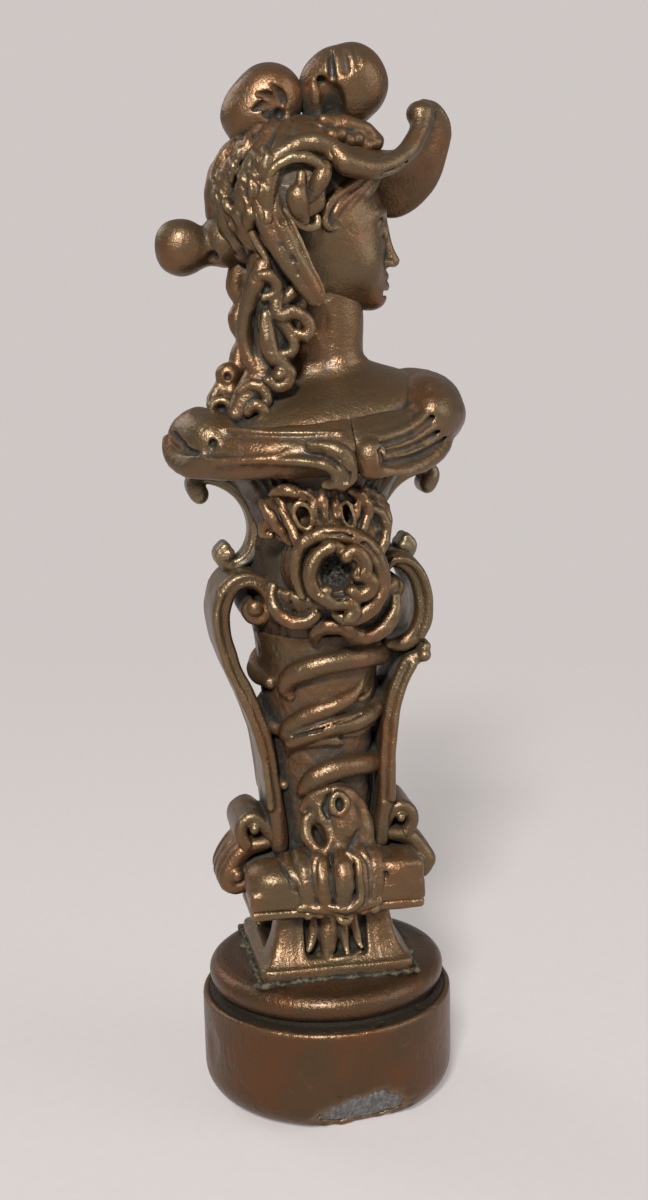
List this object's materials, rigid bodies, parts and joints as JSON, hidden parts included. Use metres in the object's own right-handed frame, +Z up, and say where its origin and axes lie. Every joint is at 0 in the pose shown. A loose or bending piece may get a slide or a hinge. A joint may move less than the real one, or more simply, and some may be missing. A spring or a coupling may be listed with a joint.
{
  "type": "desk seal with figural handle",
  "caption": "Hand seal: a round engraved metal die screwed to an upright figural bronze handle with a plinth, scrolled pillar, rosette and plumed bust.",
  "frame": {"origin": "centre of the engraved sealing face, on the face's plane", "axes": "+Z up the handle, -Y towards the side with the rosette, +X the way the figure looks"},
  "size_m": [0.0275, 0.0238, 0.0969],
  "materials": {
    "aged_bronze": "cast bronze with a mid-brown patina, rubbed yellow on the edges and dark grime in the hollows",
    "sleeve_bronze": "turned bronze, reddish brown patina, polished by handling on its upper edge",
    "rubbed_brass": "yellow brass, bare where it is rubbed, brown in the grooves",
    "die_metal": "grey die metal, dull, with fine vertical scratches where it is laid bare",
    "stud_steel": "turned steel, oiled and darkened",
    "washer": "thin packing washer, almost black",
    "solder": "soft solder, dull grey with a green bloom"
  },
  "bodies": {
    "matrix": {"die_core": "die_metal", "die_sleeve": "sleeve_bronze"},
    "washer": {"joint_washer": "washer"},
    "handle": {"collar": "sleeve_bronze", "screw_stud": "stud_steel", "solder_bead": "solder", "plinth": "aged_bronze", "dado_leaf_front": "aged_bronze", "dado_leaf_back": "aged_bronze", "abacus": "aged_bronze", "side_roll_left": "aged_bronze", "side_roll_right": "aged_bronze", "cartouche_front": "aged_bronze", "cartouche_back": "aged_bronze", "term_shaft": "aged_bronze", "side_scroll_left": "aged_bronze", "side_scroll_right": "aged_bronze", "capital": "aged_bronze", "rosette": "aged_bronze", "rosette_ring": "aged_bronze", "shell_crest": "aged_bronze", "leaf_skirt": "aged_bronze", "bust": "aged_bronze", "drapery_left": "aged_bronze", "drapery_right": "aged_bronze", "head": "aged_bronze", "hat_crown": "aged_bronze", "hat_peak": "aged_bronze", "back_knot": "aged_bronze", "feather_lappet": "aged_bronze", "ear_curl": "aged_bronze", "corner_block_back_right": "aged_bronze", "corner_block_back_left": "aged_bronze", "corner_block_front_left": "aged_bronze", "corner_block_front_right": "aged_bronze", "ribbon_upper": "aged_bronze", "ribbon_middle": "aged_bronze", "ribbon_lower": "aged_bronze", "plume_front": "aged_bronze", "plume_rear": "aged_bronze", "ringlet_near": "aged_bronze", "ringlet_middle": "aged_bronze", "ringlet_far": "aged_bronze", "upper_scroll_left": "rubbed_brass", "upper_scroll_right": "rubbed_brass"}
  },
  "joints": [
    {"name": "handle_lift", "type": "slide", "parent": "matrix", "child": "washer", "axis": [0, 0, 1], "range_m": [0, 0.006]},
    {"name": "handle_turn", "type": "hinge", "parent": "washer", "child": "handle", "pos_m": [0, 0, 0.0106], "axis": [0, 0, 1], "range_deg": [0, 2162]}
  ],
  "couplings": [
    {"joint": "handle_turn", "follows": "handle_lift", "rad_per_m": 6283.2}
  ]
}
